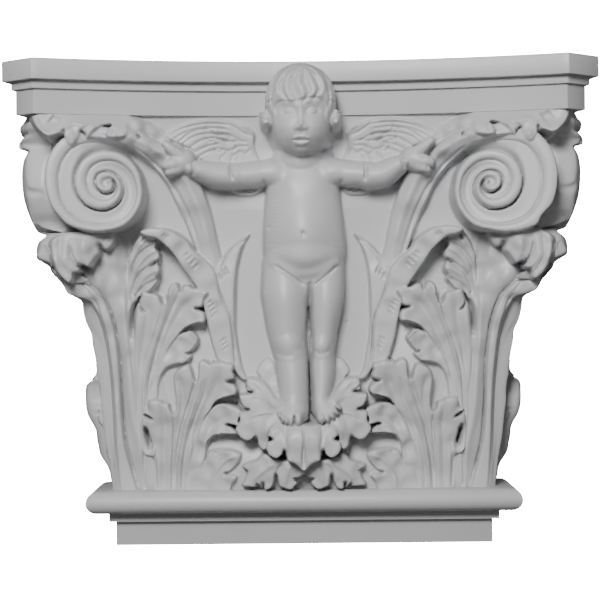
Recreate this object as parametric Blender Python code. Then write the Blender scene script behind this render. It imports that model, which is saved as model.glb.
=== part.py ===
"""Pilaster capital: one casting with a winged child between acanthus leaves and corner volutes.

Metres, +Z up. The origin is the middle of the underside. The front looks towards -Y, and the
flat back that goes against the wall faces +Y. The mouldings are worked out from the sizes
below. The carving is drawn on a sheet in millimetres: a is the distance out from the middle
line, z the height above the underside and d the distance out from the wall. The sheet is
stretched to the space between the torus and the abacus, so it follows the mouldings.
"""
import math

import bmesh
import bpy
import numpy as np

# Overall sizes
WIDTH = 0.387
HEIGHT = 0.318
DEPTH = 0.115

# Plain foot: a flat band, a small fillet and a torus
BASE_WIDTH = 0.250
BASE_DEPTH = 0.060
BASE_FILLET_HEIGHT = 0.006
BASE_FILLET_STEP = 0.0043
BAND_HEIGHT = 0.016
TORUS_HEIGHT = 0.015
TORUS_STEP = 0.0185
TORUS_FACETS = 8

# Abacus: fascia, fillet and slab, hollowed in plan and cut across at the corners
SLAB_HEIGHT = 0.0135
ABACUS_FILLET_HEIGHT = 0.0055
ABACUS_FILLET_STEP = 0.0060
FASCIA_HEIGHT = 0.0160
FASCIA_STEP = 0.0090
CORNER_CUT = 0.0225
FRONT_HOLLOW = 0.034
SIDE_HOLLOW = 0.011
FRONT_FACETS = 24
SIDE_FACETS = 6

# How finely the carving is cut
CARVING_GRAIN = 0.0016
CARVING_TRIANGLES = 8600
CARVING_SINK = 3.0
SMOOTH_UP_TO = math.radians(40)

# Marks on the sheet: where the foot's corner, the torus top, the slab's corner and the
# underside of the abacus are drawn, and how far the side face's drawing is shifted
FOOT_MARK = {"a": 125.0, "z": 37.0, "d": 60.0, "turn": 64.0}
HEAD_MARK = {"a": 193.5, "z": 283.0, "d": 115.0, "turn": 84.0}
ROOT_DEPTH = 46.0
LIMB_REACH = 2.6
BELL_SETBACK = 4.0

TORUS_TOP = BAND_HEIGHT + BASE_FILLET_HEIGHT + TORUS_HEIGHT
ABACUS_UNDERSIDE = HEIGHT - SLAB_HEIGHT - ABACUS_FILLET_HEIGHT - FASCIA_HEIGHT
WALL_Y = BASE_DEPTH / 2


def height_share(z):
    """How far up the drawing a height is: 0 at the torus, 1 at the abacus."""
    return (z - FOOT_MARK["z"]) / (HEAD_MARK["z"] - FOOT_MARK["z"])


def place(a, z, d):
    """Sheet millimetres to metres: widths and depths stretch with the foot and the head."""
    up = height_share(z)
    wide = (1 - up) * BASE_WIDTH / 2 / FOOT_MARK["a"] + up * WIDTH / 2 / HEAD_MARK["a"]
    deep = (1 - up) * BASE_DEPTH / FOOT_MARK["d"] + up * DEPTH / HEAD_MARK["d"]
    high = TORUS_TOP + up * (ABACUS_UNDERSIDE - TORUS_TOP)
    return np.stack((a * wide, WALL_Y - d * deep, high), axis=-1)


def around_corner(a, z, d):
    """Mirror a drawing across the slanting plane through the arris, onto the side face."""
    turn = FOOT_MARK["turn"] + height_share(z) * (HEAD_MARK["turn"] - FOOT_MARK["turn"])
    return d + turn, z, a - turn


class Solid:
    """Vertices and faces of several closed shells, gathered for one mesh."""

    def __init__(self):
        self.points = []
        self.faces = []

    def add(self, points, faces):
        first = sum(len(block) for block in self.points)
        self.points.append(np.asarray(points, dtype=float))
        self.faces.extend([[first + corner for corner in face] for face in faces])

    def mesh(self, name):
        mesh = bpy.data.meshes.new(name)
        mesh.from_pydata(np.concatenate(self.points).tolist(), [], self.faces)
        mesh.update()
        return mesh


def rings_closed(count, around):
    """Faces of a closed shell of stacked rings, with one face over each end."""
    faces = []
    for ring in range(count - 1):
        for step in range(around):
            low = ring * around
            after = (step + 1) % around
            faces.append([low + step, low + after, low + around + after, low + around + step])
    faces.append(list(range(around))[::-1])
    faces.append([(count - 1) * around + step for step in range(around)])
    return faces


def stack(plans, heights):
    """A closed solid from plan outlines with the same number of points, one above the other."""
    points = [(x, y, z) for plan, z in zip(plans, heights) for x, y in plan]
    solid = Solid()
    solid.add(points, rings_closed(len(plans), len(plans[0])))
    return solid


def base_plan(step):
    """Rectangle of the foot, grown by a step on its front and its two sides."""
    half = BASE_WIDTH / 2 + step
    front = WALL_Y - BASE_DEPTH - step
    return [(-half, front), (half, front), (half, WALL_Y), (-half, WALL_Y)]


def base_solid():
    """Band, fillet and torus from the underside up."""
    radius = TORUS_HEIGHT / 2
    fillet_top = BAND_HEIGHT + BASE_FILLET_HEIGHT
    levels = [(0, 0), (0, BAND_HEIGHT), (BASE_FILLET_STEP, BAND_HEIGHT), (BASE_FILLET_STEP, fillet_top)]
    for facet in range(TORUS_FACETS + 1):
        turn = math.pi * (facet / TORUS_FACETS - 0.5)
        out = TORUS_STEP - radius + radius * math.cos(turn)
        levels.append((out, fillet_top + radius + radius * math.sin(turn)))
    return stack([base_plan(step) for step, _ in levels], [z for _, z in levels])


def abacus_plan(step):
    """Outline of one tier set back by a step: hollow front, cut corners and hollow sides."""
    half = WIDTH / 2 - step
    crease = WIDTH / 2 - CORNER_CUT
    front = DEPTH - step
    end = front - (half - crease)
    plan = []
    for facet in range(FRONT_FACETS + 1):
        x = crease * (2 * facet / FRONT_FACETS - 1)
        plan.append((x, front - FRONT_HOLLOW * (1 - (x / crease) ** 2)))
    for facet in range(SIDE_FACETS + 1):
        d = end * (1 - facet / SIDE_FACETS)
        plan.append((half - SIDE_HOLLOW * (1 - (d / end) ** 2), d))
    plan.extend([(-x, d) for x, d in plan[:FRONT_FACETS:-1]])
    return [(x, WALL_Y - d) for x, d in plan]


def abacus_solid():
    """Fascia, fillet and slab as one stepped solid."""
    fascia_top = ABACUS_UNDERSIDE + FASCIA_HEIGHT
    fillet_top = fascia_top + ABACUS_FILLET_HEIGHT
    levels = [(FASCIA_STEP, ABACUS_UNDERSIDE), (FASCIA_STEP, fascia_top)]
    levels += [(ABACUS_FILLET_STEP, fascia_top), (ABACUS_FILLET_STEP, fillet_top)]
    levels += [(0, fillet_top), (0, HEIGHT)]
    return stack([abacus_plan(step) for step, _ in levels], [z for _, z in levels])


def bell(carving):
    """The plain body behind the carving: it flares to the sides and forwards under the abacus."""
    levels = np.linspace(FOOT_MARK["z"] - CARVING_SINK, HEAD_MARK["z"] + CARVING_SINK, 15)
    across = np.linspace(-1, 1, 13)
    foot_half = FOOT_MARK["a"] - BELL_SETBACK
    foot_front = FOOT_MARK["d"] - BELL_SETBACK
    head_half = HEAD_MARK["a"] * (1 - 2 * (FASCIA_STEP + SIDE_HOLLOW) / WIDTH) - BELL_SETBACK
    head_middle = HEAD_MARK["d"] * (1 - (FASCIA_STEP + FRONT_HOLLOW) / DEPTH) - BELL_SETBACK
    head_corner = HEAD_MARK["d"] * (1 - FASCIA_STEP / DEPTH) - 3 * BELL_SETBACK
    rings = []
    for z in levels:
        up = max(0.0, height_share(z))
        half = foot_half + (head_half - foot_half) * up ** 3
        middle = foot_front + (head_middle - foot_front) * up ** 5
        corner = foot_front + (head_corner - foot_front) * up ** 3
        a = np.concatenate((across * half, (half, -half)))
        d = np.concatenate((middle + (corner - middle) * across ** 2, (-CARVING_SINK, -CARVING_SINK)))
        rings.append(place(a, np.full_like(a, z), d))
    carving.add(np.concatenate(rings), rings_closed(len(levels), len(across) + 2))


def patch(carving, a, z, d, back=ROOT_DEPTH, sides=(-1, 1), turned=False):
    """A relief patch: a surface on a grid, with walls straight back to a flat rear face."""
    ring = [np.concatenate((grid, grid[:, ::-1]), axis=1) for grid in (a, z)]
    ring.append(np.concatenate((d, np.full_like(d, back)), axis=1))
    if turned:
        ring = around_corner(*ring)
    faces = rings_closed(*ring[0].shape)
    for side in sides:
        carving.add(place(side * ring[0], ring[1], ring[2]).reshape(-1, 3), faces)


def curve(points, t):
    """Bezier curve through its first and last points, drawn towards the ones between."""
    points = np.array(points, dtype=float)
    order = len(points) - 1
    share = [math.comb(order, k) * t ** k * (1 - t) ** (order - k) for k in range(order + 1)]
    return sum(weight[..., None] * point for weight, point in zip(share, points))


def blade(carving, points, widths, crown=2.5, cup=0.0, teeth=0, tip=0.18, rows=11, **where):
    """One finger of a leaf: a band along a curve, crowned across, with a round or toothed tip."""
    t = np.linspace(0, 1, rows)[:, None]
    across = np.linspace(-1, 1, 7)[None, :]
    bite = 0.5 * tip * np.sin(teeth * math.pi / 2 * across) ** 2 if teeth else 0 * across
    run_in = t * (1 - bite)
    spine = curve(points, run_in)
    run = np.gradient(curve(points, t[:, 0])[:, :2], axis=0)
    run /= np.linalg.norm(run, axis=1)[:, None] + 1e-9
    past = np.clip((t - 1 + tip) / tip, 0, 1)
    half = np.interp(t, np.linspace(0, 1, len(widths)), widths)
    half = half * np.sqrt(np.clip(1 - past ** 2, 0.35 if teeth else 0.02, 1))
    a = spine[..., 0] - run[:, 1, None] * half * across
    z = spine[..., 1] + run[:, 0, None] * half * across
    rise = crown * np.sqrt(1 - 0.96 * across ** 2) - cup * t * np.exp(-((across / 0.5) ** 2))
    patch(carving, a, z, spine[..., 2] + rise, **where)


def tube(carving, points, widths, depths, rows=9, around=12):
    """A limb: oval rings along a curve, each as wide and as deep as its share of the lists.

    The back of each ring reaches LIMB_REACH times as deep, into the bell behind it.
    """
    t = np.linspace(0, 1, rows)
    spine = curve(points, t)
    run = np.gradient(spine[:, :2], axis=0)
    run /= np.linalg.norm(run, axis=1)[:, None] + 1e-9
    marks = np.linspace(0, 1, len(widths))
    close = np.sqrt(np.clip(1 - (2 * t - 1) ** 8, 0.05, 1))
    half = np.interp(t, marks, widths) * close
    deep = np.interp(t, marks, depths) * close
    turn = np.linspace(0, 2 * math.pi, around, endpoint=False)
    a = spine[:, 0, None] - run[:, 1, None] * half[:, None] * np.cos(turn)
    z = spine[:, 1, None] + run[:, 0, None] * half[:, None] * np.cos(turn)
    d = spine[:, 2, None] + deep[:, None] * np.sin(turn) * np.where(np.sin(turn) < 0, LIMB_REACH, 1)
    carving.add(place(a, z, d).reshape(-1, 3), rings_closed(rows, around))


def ball(carving, centre, radii, rows=8, around=14):
    """An egg shape with its own radius out, up and forwards."""
    lift = np.linspace(-math.pi / 2, math.pi / 2, rows + 2)[1:-1, None]
    turn = np.linspace(0, 2 * math.pi, around, endpoint=False)
    a = centre[0] + radii[0] * np.cos(lift) * np.cos(turn)
    z = centre[1] + radii[1] * np.sin(lift) + 0 * turn
    d = centre[2] - radii[2] * np.cos(lift) * np.sin(turn)
    carving.add(place(a, z, d).reshape(-1, 3), rings_closed(rows, around))


VOLUTE_CENTRE = (125.0, 238.0, 98.0)
VOLUTE_RADIUS = 32.0
VOLUTE_CLOSING = 2.8
VOLUTE_QUARTERS = 10


def volute(carving, turned):
    """A flat scroll: a band whose edge closes in evenly over its turns, each turn prouder."""
    quarter = np.linspace(-1.2, VOLUTE_QUARTERS, 72)[:, None]
    across = np.linspace(0, 1, 8)[None, :]
    outer = VOLUTE_RADIUS - VOLUTE_CLOSING * quarter
    inner = np.clip(outer - 4 * VOLUTE_CLOSING, 0.3, None)
    radius = outer + (inner - outer) * across
    radius = radius + 7 * np.exp(-((quarter - 0.1) / 0.8) ** 2) * (1 - across)
    turn = math.pi + quarter * math.pi / 2
    a = VOLUTE_CENTRE[0] - radius * np.cos(turn)
    z = VOLUTE_CENTRE[1] + radius * np.sin(turn)
    rim = 2.6 * np.exp(-((across / 0.22) ** 2)) - 1.2 * np.sin(math.pi * across)
    d = VOLUTE_CENTRE[2] + 0.6 * np.clip(quarter, 0, None) + rim + 0 * a
    patch(carving, a, z, d, turned=turned)


def stem(carving, turned):
    """The stalk that rises from the sheath and opens into the volute, with two long ridges."""
    line = [(58, 186, 60), (66, 214, 66), (78, 246, 76), (96, 268, 90), (122, 272, 95)]
    for shift in (-1, 1):
        ridge = [(a + 4.5 * shift, z - 3 * shift * (a > 70), d) for a, z, d in line]
        blade(carving, ridge, (3, 5, 6, 6, 4), crown=3.2, tip=0.05, rows=13, turned=turned)


TALL_LEAF = (
    ((112, 34, 62), (111, 110, 65), (107, 149, 71), (98, 167, 79), (4, 5, 8), 3),
    ((107, 34, 62), (104, 110, 66), (94, 149, 74), (81, 175, 83), (4, 4, 5), 0),
    ((102, 34, 62), (98, 103, 67), (86, 143, 75), (67, 171, 83), (4, 5, 10), 3),
    ((98, 34, 62), (93, 97, 67), (83, 133, 74), (63, 153, 79), (4, 4, 6), 0),
    ((94, 34, 62), (89, 90, 67), (83, 117, 72), (68, 138, 76), (4, 5, 9), 3),
    ((92, 34, 62), (87, 77, 66), (84, 100, 70), (77, 121, 73), (4, 5, 8), 3),
)
LOW_LEAF = (
    ((109, 34, 66), (106, 64, 71), (103, 81, 75), (93, 98, 79), (4, 5, 9), 3),
    ((100, 34, 67), (97, 71, 73), (93, 91, 78), (78, 119, 82), (5, 5, 8), 0),
    ((92, 34, 67), (86, 71, 74), (78, 97, 80), (57, 123, 84), (5, 6, 12), 3),
    ((85, 34, 67), (79, 67, 74), (68, 91, 78), (45, 107, 82), (5, 5, 7), 0),
    ((77, 34, 67), (72, 64, 73), (63, 81, 77), (42, 92, 81), (5, 5, 9), 3),
    ((69, 34, 66), (66, 54, 71), (59, 64, 74), (45, 76, 78), (5, 5, 8), 3),
)
FAN_LEAF = (
    ((117, 112, 64), (114, 169, 73), (109, 199, 81), (96, 206, 85), (3, 4, 5), 0),
    ((114, 108, 64), (111, 163, 73), (104, 187, 79), (94, 196, 84), (3, 4, 5), 0),
    ((112, 104, 64), (109, 156, 72), (102, 177, 78), (94, 186, 82), (3, 4, 5), 0),
    ((110, 100, 64), (107, 143, 71), (102, 166, 76), (96, 176, 79), (3, 4, 5), 0),
)
TIP_LEAF = (
    ((148, 214, 84), (158, 207, 92), (156, 190, 97), (149, 175, 95), (5, 6, 5), 0),
    ((134, 214, 84), (142, 207, 92), (143, 194, 98), (140, 182, 96), (8, 11, 10), 3),
    ((126, 213, 84), (127, 207, 90), (126, 201, 94), (124, 191, 92), (5, 5, 6), 0),
    ((158, 214, 80), (164, 206, 86), (166, 196, 90), (165, 186, 87), (5, 6, 6), 0),
)
SCROLL_LEAF = (
    ((88, 260, 80), (98, 271, 88), (104, 274, 93), (112, 267, 98), (4, 5, 4), 0),
    ((88, 263, 80), (104, 278, 90), (115, 280, 96), (125, 268, 100), (4, 6, 6), 3),
    ((90, 266, 80), (110, 283, 92), (129, 281, 99), (140, 264, 102), (4, 7, 6), 3),
    ((98, 271, 82), (116, 286, 94), (136, 283, 101), (151, 261, 102), (4, 7, 6), 3),
    ((104, 275, 84), (129, 288, 95), (154, 283, 101), (164, 265, 100), (5, 8, 7), 0),
    ((117, 279, 88), (148, 287, 96), (170, 284, 98), (174, 265, 95), (6, 9, 8), 3),
)
STRIP = ((116, 34, 64), (123, 90, 67), (124, 140, 73), (147, 182, 88))
HOLLOW = ((119, 34, 60), (121, 120, 66), (122, 170, 76), (128, 218, 86))


def leaf(carving, fingers, crown=2.6, cup=1.4, **where):
    """A leaf is a fan of fingers that start close together at the foot."""
    for *points, widths, teeth in fingers:
        blade(carving, points, widths, crown=crown, cup=cup, teeth=teeth, **where)


def corner_carving(carving, turned):
    """Everything that grows at a corner, drawn once and repeated around the arris."""
    volute(carving, turned)
    stem(carving, turned)
    blade(carving, STRIP, (6, 5, 3.5, 3.5), crown=3.5, tip=0.02, turned=turned)
    blade(carving, HOLLOW, (8, 9, 11, 13), crown=1, cup=2, tip=0.15, turned=turned)
    leaf(carving, FAN_LEAF, cup=0, turned=turned)
    leaf(carving, TALL_LEAF, turned=turned)
    leaf(carving, LOW_LEAF, turned=turned)
    leaf(carving, TIP_LEAF, crown=3.5, cup=0, back=72, turned=turned)
    leaf(carving, SCROLL_LEAF, crown=3, cup=0.5, turned=turned)


def sheath(carving):
    """The ribbed band that wraps the foot of the stem, and the long blade beside the figure."""
    band = [(96, 206, 80), (74, 201, 77), (58, 176, 71), (46, 140, 67), (44, 112, 63)]
    blade(carving, band, (4, 7, 8, 7, 5), crown=2.5, tip=0.02, rows=15)
    tall = [(38, 104, 60), (48, 150, 62), (43, 184, 62), (34, 208, 60)]
    blade(carving, tall, (4, 6, 5, 2.5), crown=2.4, tip=0.3)


FOOT_LEAVES = (
    ((0, 88, 86), (0, 82, 96), (0, 72, 99), (0, 52, 95), (9, 11, 9), 0),
    ((6, 86, 84), (10, 82, 94), (14, 74, 96), (17, 61, 91), (7, 9, 9), 3),
    ((10, 84, 78), (22, 85, 84), (32, 87, 86), (43, 85, 80), (8, 9, 10), 3),
    ((10, 92, 76), (20, 98, 80), (28, 102, 80), (36, 109, 74), (7, 8, 9), 3),
    ((8, 70, 76), (16, 64, 84), (24, 54, 86), (31, 41, 82), (7, 8, 9), 3),
    ((8, 66, 74), (20, 62, 80), (30, 58, 82), (42, 47, 76), (7, 8, 9), 3),
    ((4, 60, 74), (7, 54, 82), (10, 48, 84), (13, 39, 82), (6, 7, 7), 3),
)
FEATHERS = 6


def wing(carving):
    """A spread wing: long feathers one below another under an arched shoulder edge."""
    for row in range(FEATHERS):
        share = row / (FEATHERS - 1)
        tip = (90 - 30 * share, 270 - 14 * share, 75 - 3 * share)
        middle = (62 - 12 * share, 282 - 15 * share, 75 - 3 * share)
        blade(carving, [(28, 268 - 9 * share, 70), middle, tip], (3, 3.6, 2.6), crown=2, tip=0.15)
    for row in range(3):
        line = [(20 + 7 * row, 246, 62), (25 + 7 * row, 236, 65), (30 + 8 * row, 231 + row, 64)]
        blade(carving, line, (4, 4, 3), crown=1.6, tip=0.4)


def arm(carving, side):
    """A bent arm from the shoulder to the hand that holds the leaf."""
    upper = [(15 * side, 247, 76), (30 * side, 243, 81), (47 * side, 243, 79)]
    fore = [(43 * side, 243, 79), (57 * side, 243, 82), (73 * side, 250, 85)]
    tube(carving, upper, (10, 10, 9), (10, 10, 9))
    tube(carving, fore, (9, 9, 5.5), (9, 9, 6))
    ball(carving, (80 * side, 255, 89), (9, 7, 7))
    ball(carving, (86 * side, 247, 90), (4.5, 3.5, 4))


def leg(carving, side, thigh, calf):
    """A plump child's leg with its knee and its foot."""
    hip = [(12.5 * side, 186, 75), (14 * side, 160, 79), (11.5 * side, 134, 77)]
    shin = [(11.5 * side, 138, 77), (12 * side, 118, 78), (9 * side, 90, 80)]
    tube(carving, hip, (thigh, thigh + 0.5, calf + 1), (13, 14, 12))
    tube(carving, shin, (calf, calf + 0.5, calf - 3.5), (11, 11, 9))
    ball(carving, (11 * side, 138, 83), (calf - 2, 7, 8))
    ball(carving, (10 * side, 88, 90), (9, 6, 14))


def figure(carving):
    """The winged child: head, trunk, arms and legs, standing against the bell."""
    trunk = [(1, 255, 73), (1, 228, 78), (1, 204, 81), (1, 176, 77)]
    tube(carving, trunk, (20, 24, 24.5, 26, 25), (12, 14, 16, 17, 14), rows=15, around=18)
    tube(carving, [(1, 180, 62), (1, 130, 62), (1, 84, 66)], (16, 13, 12), (8, 8, 8))
    ball(carving, (1, 203, 84), (23, 19, 15))
    ball(carving, (1, 183, 79), (26.5, 15, 14))
    tube(carving, [(0, 250, 80), (0, 260, 84), (0, 270, 88)], (12, 11, 12), (11, 11, 12))
    for side in (-1, 1):
        arm(carving, side)
        ball(carving, (10 * side, 236, 84), (12, 11, 9))
        ball(carving, (19 * side, 247, 78), (10, 9, 10))
        ball(carving, (23 * side, 279, 86), (4, 7, 6))
    leg(carving, -1, 14, 12)
    leg(carving, 1, 12.5, 10)
    head(carving)


def head(carving):
    """A calm child's head on plain proportions: eyes halfway down, nose halfway from them."""
    ball(carving, (0, 293, 86), (23.5, 23.5, 21.5), rows=12, around=18)
    ball(carving, (0, 279, 92), (18.5, 21, 17), rows=10, around=16)
    ball(carving, (0, 277, 109), (3.2, 3.6, 3.4))
    ball(carving, (0, 264, 103), (5.5, 5, 5))
    for side in (-1, 1):
        ball(carving, (9 * side, 272, 102), (7, 7, 6))


def build_carving():
    """All the carving as shells that run into each other."""
    carving = Solid()
    bell(carving)
    for turned in (False, True):
        corner_carving(carving, turned)
    sheath(carving)
    wing(carving)
    leaf(carving, FOOT_LEAVES, crown=3)
    figure(carving)
    return carving


def apply_modifiers(item):
    """Put the mesh that the modifiers make in the place of the object's own mesh."""
    seen = item.evaluated_get(bpy.context.evaluated_depsgraph_get())
    mesh = bpy.data.meshes.new_from_object(seen)
    item.modifiers.clear()
    item.data = mesh


def new_object(name, mesh):
    item = bpy.data.objects.new(name, mesh)
    bpy.context.scene.collection.objects.link(item)
    return item


def join(item, other, operation):
    """Combine with another solid, which is then removed."""
    step = item.modifiers.new("join", "BOOLEAN")
    step.operation = operation
    step.solver = "EXACT"
    step.object = other
    apply_modifiers(item)
    bpy.data.objects.remove(other)


def keep_biggest_shell(mesh):
    """Drops the loose flakes that decimating leaves inside the carving."""
    shell = bmesh.new()
    shell.from_mesh(mesh)
    shells = []
    seen = set()
    for start in shell.verts:
        if start in seen:
            continue
        reached = [start]
        seen.add(start)
        for vertex in reached:
            for edge in vertex.link_edges:
                other = edge.other_vert(vertex)
                if other not in seen:
                    seen.add(other)
                    reached.append(other)
        shells.append(reached)
    shells.sort(key=len)
    loose = [vertex for flake in shells[:-1] for vertex in flake]
    bmesh.ops.delete(shell, geom=loose, context="VERTS")
    shell.to_mesh(mesh)
    shell.free()


def box_solid(low, high):
    """A plain box between two corners."""
    corners = [(low[0], low[1]), (high[0], low[1]), (high[0], high[1]), (low[0], high[1])]
    return stack([corners, corners], [low[2], high[2]])


def primer():
    """Factory primer: matt and pale grey."""
    material = bpy.data.materials.new("grey_primer")
    material.use_nodes = True
    shader = material.node_tree.nodes["Principled BSDF"]
    shader.inputs["Base Color"].default_value = (0.50, 0.50, 0.51, 1)
    shader.inputs["Roughness"].default_value = 0.62
    shader.inputs["Metallic"].default_value = 0.0
    return material


def main():
    for item in list(bpy.data.objects):
        bpy.data.objects.remove(item)
    capital = new_object("pilaster_capital", build_carving().mesh("carving"))
    remesh = capital.modifiers.new("fuse", "REMESH")
    remesh.mode = "VOXEL"
    remesh.voxel_size = CARVING_GRAIN
    apply_modifiers(capital)
    thin = capital.modifiers.new("thin", "DECIMATE")
    thin.ratio = CARVING_TRIANGLES / (2 * len(capital.data.polygons))
    apply_modifiers(capital)
    join(capital, new_object("abacus", abacus_solid().mesh("abacus")), "UNION")
    join(capital, new_object("base", base_solid().mesh("base")), "UNION")
    room = box_solid((-WIDTH, WALL_Y - 2 * DEPTH, -HEIGHT), (WIDTH, WALL_Y, 2 * HEIGHT))
    join(capital, new_object("room", room.mesh("room")), "INTERSECT")
    keep_biggest_shell(capital.data)
    capital.data.materials.clear()
    capital.data.materials.append(primer())
    capital.data.shade_smooth()
    capital.data.set_sharp_from_angle(angle=SMOOTH_UP_TO)


main()
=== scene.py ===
# The stage. The casting stands free in front of a white sweep, as for a catalogue: a broad soft
# lamp at the upper left, a weaker one at the right and even light all round.
import math

import bpy
import numpy as np
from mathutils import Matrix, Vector


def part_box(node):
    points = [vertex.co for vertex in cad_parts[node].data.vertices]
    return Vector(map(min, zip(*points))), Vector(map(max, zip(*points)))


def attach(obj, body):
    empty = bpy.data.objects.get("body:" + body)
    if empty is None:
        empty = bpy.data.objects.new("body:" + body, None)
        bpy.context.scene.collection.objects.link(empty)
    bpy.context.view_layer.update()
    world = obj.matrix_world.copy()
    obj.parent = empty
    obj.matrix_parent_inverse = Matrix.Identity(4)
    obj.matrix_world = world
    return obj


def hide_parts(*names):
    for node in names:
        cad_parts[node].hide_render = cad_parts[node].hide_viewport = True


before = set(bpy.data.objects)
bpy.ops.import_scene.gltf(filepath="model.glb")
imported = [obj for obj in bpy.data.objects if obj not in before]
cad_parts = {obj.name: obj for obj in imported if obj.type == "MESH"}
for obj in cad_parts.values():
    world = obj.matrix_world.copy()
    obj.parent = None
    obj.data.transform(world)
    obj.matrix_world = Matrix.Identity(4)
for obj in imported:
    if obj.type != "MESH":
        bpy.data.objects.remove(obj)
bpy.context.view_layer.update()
(_, wall_low, _), (half_width, wall_y, height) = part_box("pilaster_capital")

EYE_DISTANCE = 1.35
EYE_HEIGHT = 0.1618
FIELD_WIDTH = 0.417
LEAN = math.radians(0.53)

camera = bpy.data.objects.new("camera", bpy.data.cameras.new("camera"))
bpy.context.scene.collection.objects.link(camera)
camera.location = (0, wall_y - EYE_DISTANCE, EYE_HEIGHT)
camera.rotation_euler = (math.pi / 2, LEAN, 0)
camera.data.lens = camera.data.sensor_width * EYE_DISTANCE / FIELD_WIDTH
camera.data.shift_x = -2.4 / 600
camera.data.clip_start = 0.05
bpy.context.scene.camera = camera


def stage_sheet(name, corners, glow):
    """A plain four-cornered surface that only the camera sees, so it throws no light back."""
    mesh = bpy.data.meshes.new(name)
    mesh.from_pydata(corners, [], [(0, 1, 2, 3)])
    item = bpy.data.objects.new(name, mesh)
    bpy.context.scene.collection.objects.link(item)
    paint = bpy.data.materials.new(name)
    paint.use_nodes = True
    shader = paint.node_tree.nodes["Principled BSDF"]
    shader.inputs["Base Color"].default_value = (0.8, 0.8, 0.8, 1)
    shader.inputs["Roughness"].default_value = 0.9
    shader.inputs["Emission Color"].default_value = (1, 1, 1, 1)
    shader.inputs["Emission Strength"].default_value = glow
    mesh.materials.append(paint)
    item.visible_diffuse = item.visible_glossy = item.visible_shadow = False


stage_sheet("floor", [(-6, -6, -0.003), (6, -6, -0.003), (6, 6, -0.003), (-6, 6, -0.003)], 40.0)
stage_sheet("backdrop", [(-6, 2.4, -1), (6, 2.4, -1), (6, 2.4, 5), (-6, 2.4, 5)], 40.0)


def soft_lamp(name, place, size, power):
    """A square area lamp that looks from its place at the middle of the casting."""
    lamp = bpy.data.objects.new(name, bpy.data.lights.new(name, "AREA"))
    lamp.data.size = size
    lamp.data.energy = power
    lamp.location = place
    way = Vector((0, 0, 0.17)) - lamp.location
    lamp.rotation_euler = way.to_track_quat("-Z", "Y").to_euler()
    bpy.context.scene.collection.objects.link(lamp)


soft_lamp("key", (-0.25, -1.4, 0.8), 0.4, 27)
soft_lamp("fill", (1.2, -2.6, 0.3), 1.4, 3)
world = bpy.data.worlds.new("studio")
bpy.context.scene.world = world
world.use_nodes = True
world.node_tree.nodes["Background"].inputs["Color"].default_value = (1, 1, 1, 1)
world.node_tree.nodes["Background"].inputs["Strength"].default_value = 0.1


# Abacus: the stepped top plate, cast in one with the rest. A fascia, a fillet and a slab, all
# hollowed along the front and the sides and cut across at the corners, with edges just blunted.
WIDTH = 2000 * half_width
HEIGHT = 1000 * height
DEPTH = 1000 * (wall_y - wall_low)
WALL = 1000 * wall_y
SLAB_HEIGHT = 13.5
ABACUS_FILLET_HEIGHT = 5.5
ABACUS_FILLET_STEP = 6.0
FASCIA_HEIGHT = 16.0
FASCIA_STEP = 9.0
CORNER_CUT = 22.5
FRONT_HOLLOW = 34.0
SIDE_HOLLOW = 11.0
EDGE_BLUNT = 0.0006


class Sockets:
    """A node output that adds its Math nodes when it is used in an expression."""

    def __init__(self, tree, socket):
        self.tree = tree
        self.socket = socket

    def into(self, slot):
        self.tree.links.new(self.socket, slot)

    def math(self, operation, other):
        node = self.tree.nodes.new("ShaderNodeMath")
        node.operation = operation
        self.into(node.inputs[0])
        if isinstance(other, Sockets):
            other.into(node.inputs[1])
        else:
            node.inputs[1].default_value = other
        return Sockets(self.tree, node.outputs[0])

    def __add__(self, other):
        return self.math("ADD", other)

    def __mul__(self, other):
        return self.math("MULTIPLY", other)


class Finish:
    """A material, with one method that makes any of its nodes."""

    def __init__(self, name):
        self.material = bpy.data.materials.new(name)
        self.material.use_nodes = True
        self.tree = self.material.node_tree
        self.shader = self.tree.nodes["Principled BSDF"]

    def node(self, kind, output, **inputs):
        """One node, with the values or links of its sockets."""
        made = self.tree.nodes.new(kind)
        for name, value in inputs.items():
            if isinstance(value, Sockets):
                value.into(made.inputs[name])
            else:
                made.inputs[name].default_value = value
        return Sockets(self.tree, made.outputs[output])

    def noise(self, scale, detail):
        """Clouds of a given scale, laid out by the place in the piece."""
        place = self.node("ShaderNodeTexCoord", "Object")
        return self.node("ShaderNodeTexNoise", 0, Vector=place, Scale=scale, Detail=detail)


def grey_primer():
    """Sprayed primer: matt pale grey, faintly uneven in tone, with a very fine sprayed grain."""
    finish = Finish("grey_primer")
    clouds, grain, pits = (finish.noise(*how) for how in ((16.0, 3.0), (900.0, 2.0), (160.0, 4.0)))
    tone = clouds * 0.75 + pits * 0.25
    colour = finish.tree.nodes.new("ShaderNodeMix")
    colour.data_type = "RGBA"
    tone.into(colour.inputs["Factor"])
    colour.inputs["A"].default_value = (0.50, 0.50, 0.51, 1)
    colour.inputs["B"].default_value = (0.56, 0.56, 0.565, 1)
    height = grain * 0.6 + pits * 0.4
    grainy = finish.node("ShaderNodeBump", 0, Strength=0.12, Distance=0.0002, Height=height)
    Sockets(finish.tree, colour.outputs["Result"]).into(finish.shader.inputs["Base Color"])
    (tone * 0.12 + 0.38).into(finish.shader.inputs["Roughness"])
    grainy.into(finish.shader.inputs["Normal"])
    finish.shader.inputs["IOR"].default_value = 1.55
    return finish.material


PRIMER = grey_primer()


def tube_quads(rows, around):
    """Quads between each ring of a tube and the next."""
    low = np.arange((rows - 1) * around).reshape(rows - 1, around)
    after = np.roll(low, -1, axis=1)
    return np.stack((low, after, after + around, low + around), axis=-1).reshape(-1, 4)


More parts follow.
